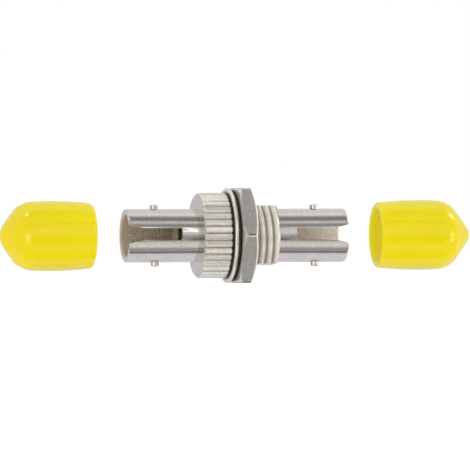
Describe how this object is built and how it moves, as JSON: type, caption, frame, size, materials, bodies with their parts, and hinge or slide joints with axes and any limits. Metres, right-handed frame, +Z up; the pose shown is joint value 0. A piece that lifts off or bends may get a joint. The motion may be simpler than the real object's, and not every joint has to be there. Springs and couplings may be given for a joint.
{
  "type": "fibre adapter",
  "caption": "Metal fibre adapter with a bayonet port at each end, a knurled collar and nut for a panel, and two pulled-off dust caps.",
  "frame": {"origin": "on the fibre axis, in the plane where the two ferrules meet, midway between the ports", "axes": "+X along the fibre axis towards the threaded half, +Z up, away from the nut flat that it lies on"},
  "size_m": [0.0662, 0.015, 0.013],
  "materials": {
    "nickel_plating": "polished nickel plate",
    "nut_plating": "satin nickel plate",
    "washer_steel": "bright, blanked",
    "spring_steel": "dull, hardened",
    "pin_brass": "pale, turned",
    "bush_brass": "bare, turned",
    "zirconia": "ground white ceramic",
    "yellow_vinyl": "soft moulded vinyl, slightly glossy"
  },
  "bodies": {
    "adapter": {"knurled_half": "nickel_plating", "threaded_half": "nickel_plating", "bayonet_pin_left_upper": "pin_brass", "bayonet_pin_left_lower": "pin_brass", "bayonet_pin_right_upper": "pin_brass", "bayonet_pin_right_lower": "pin_brass", "sleeve_bush": "bush_brass", "alignment_sleeve": "zirconia"},
    "washers": {"flat_washer": "washer_steel", "lock_washer": "spring_steel"},
    "nut": {"hex_nut": "nut_plating"},
    "left_cap": {"left_dust_cap": "yellow_vinyl"},
    "right_cap": {"right_dust_cap": "yellow_vinyl"}
  },
  "joints": [
    {"name": "left_cap_slide", "type": "slide", "parent": "adapter", "child": "left_cap", "axis": [1, 0, 0], "range_m": [-0.03, 0.0134]},
    {"name": "right_cap_slide", "type": "slide", "parent": "adapter", "child": "right_cap", "axis": [-1, 0, 0], "range_m": [-0.03, 0.0133]},
    {"name": "washer_travel", "type": "slide", "parent": "adapter", "child": "washers", "axis": [1, 0, 0], "range_m": [0, 0.0034]},
    {"name": "nut_turn", "type": "hinge", "parent": "washers", "child": "nut", "pos_m": [0.00093, 0, 0], "axis": [1, 0, 0], "range_deg": [0, 1225]}
  ],
  "couplings": [
    {"joint": "nut_turn", "follows": "washer_travel", "rad_per_m": 6283.2}
  ]
}
